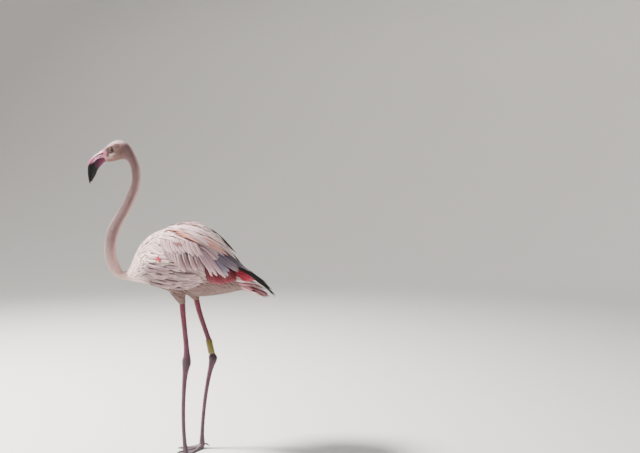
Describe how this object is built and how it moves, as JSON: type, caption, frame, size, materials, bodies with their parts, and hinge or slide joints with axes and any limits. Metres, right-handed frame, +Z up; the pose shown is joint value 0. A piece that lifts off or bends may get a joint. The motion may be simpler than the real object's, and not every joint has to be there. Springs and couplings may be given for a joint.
{
  "type": "greater flamingo",
  "caption": "Adult greater flamingo standing at rest, neck in an S and wings folded, a plain yellow ring above the right ankle; a still, life-size museum model.",
  "frame": {"origin": "on the floor under the middle of the bird's overall box", "axes": "+Z up, the bird faces -Y, its left side is +X"},
  "size_m": [0.2173, 0.57, 0.9715],
  "materials": {
    "head_feathers": "fine short feathers, pale pink",
    "body_feathers": "soft overlapping feathers, pinkish white",
    "wing_feathers": "large rounded coverts, grey pink with peach and crimson",
    "flight_feathers": "smooth black quills with a slight sheen",
    "bill_pink": "satin horn, pale pink with a black tip",
    "bill_deep_pink": "satin horn, deep pink with a black tip",
    "eye": "glossy, wet",
    "leg_skin": "scaled bare skin, satin",
    "claw_horn": "dull horn",
    "ring": "plain moulded plastic, slightly soiled"
  },
  "bodies": {
    "root": {"head": "head_feathers", "eye_left": "eye", "eye_right": "eye", "upper_bill": "bill_pink", "lower_bill": "bill_deep_pink", "neck_upper": "body_feathers", "neck_middle": "body_feathers", "neck_lower": "body_feathers", "trunk": "body_feathers", "tail": "body_feathers", "thigh_left": "body_feathers", "thigh_right": "body_feathers", "wing_left": "wing_feathers", "wing_right": "wing_feathers", "tertials_left": "wing_feathers", "tertials_right": "wing_feathers", "primaries_left": "flight_feathers", "primaries_right": "flight_feathers", "tibia_left": "leg_skin", "tibia_right": "leg_skin", "tarsus_left": "leg_skin", "tarsus_right": "leg_skin", "foot_left": "leg_skin", "foot_right": "leg_skin", "hallux_left": "leg_skin", "hallux_right": "leg_skin", "claw_left_inner": "claw_horn", "claw_left_middle": "claw_horn", "claw_left_outer": "claw_horn", "claw_right_inner": "claw_horn", "claw_right_middle": "claw_horn", "claw_right_outer": "claw_horn", "hallux_claw_left": "claw_horn", "hallux_claw_right": "claw_horn", "leg_ring": "ring"}
  },
  "joints": []
}
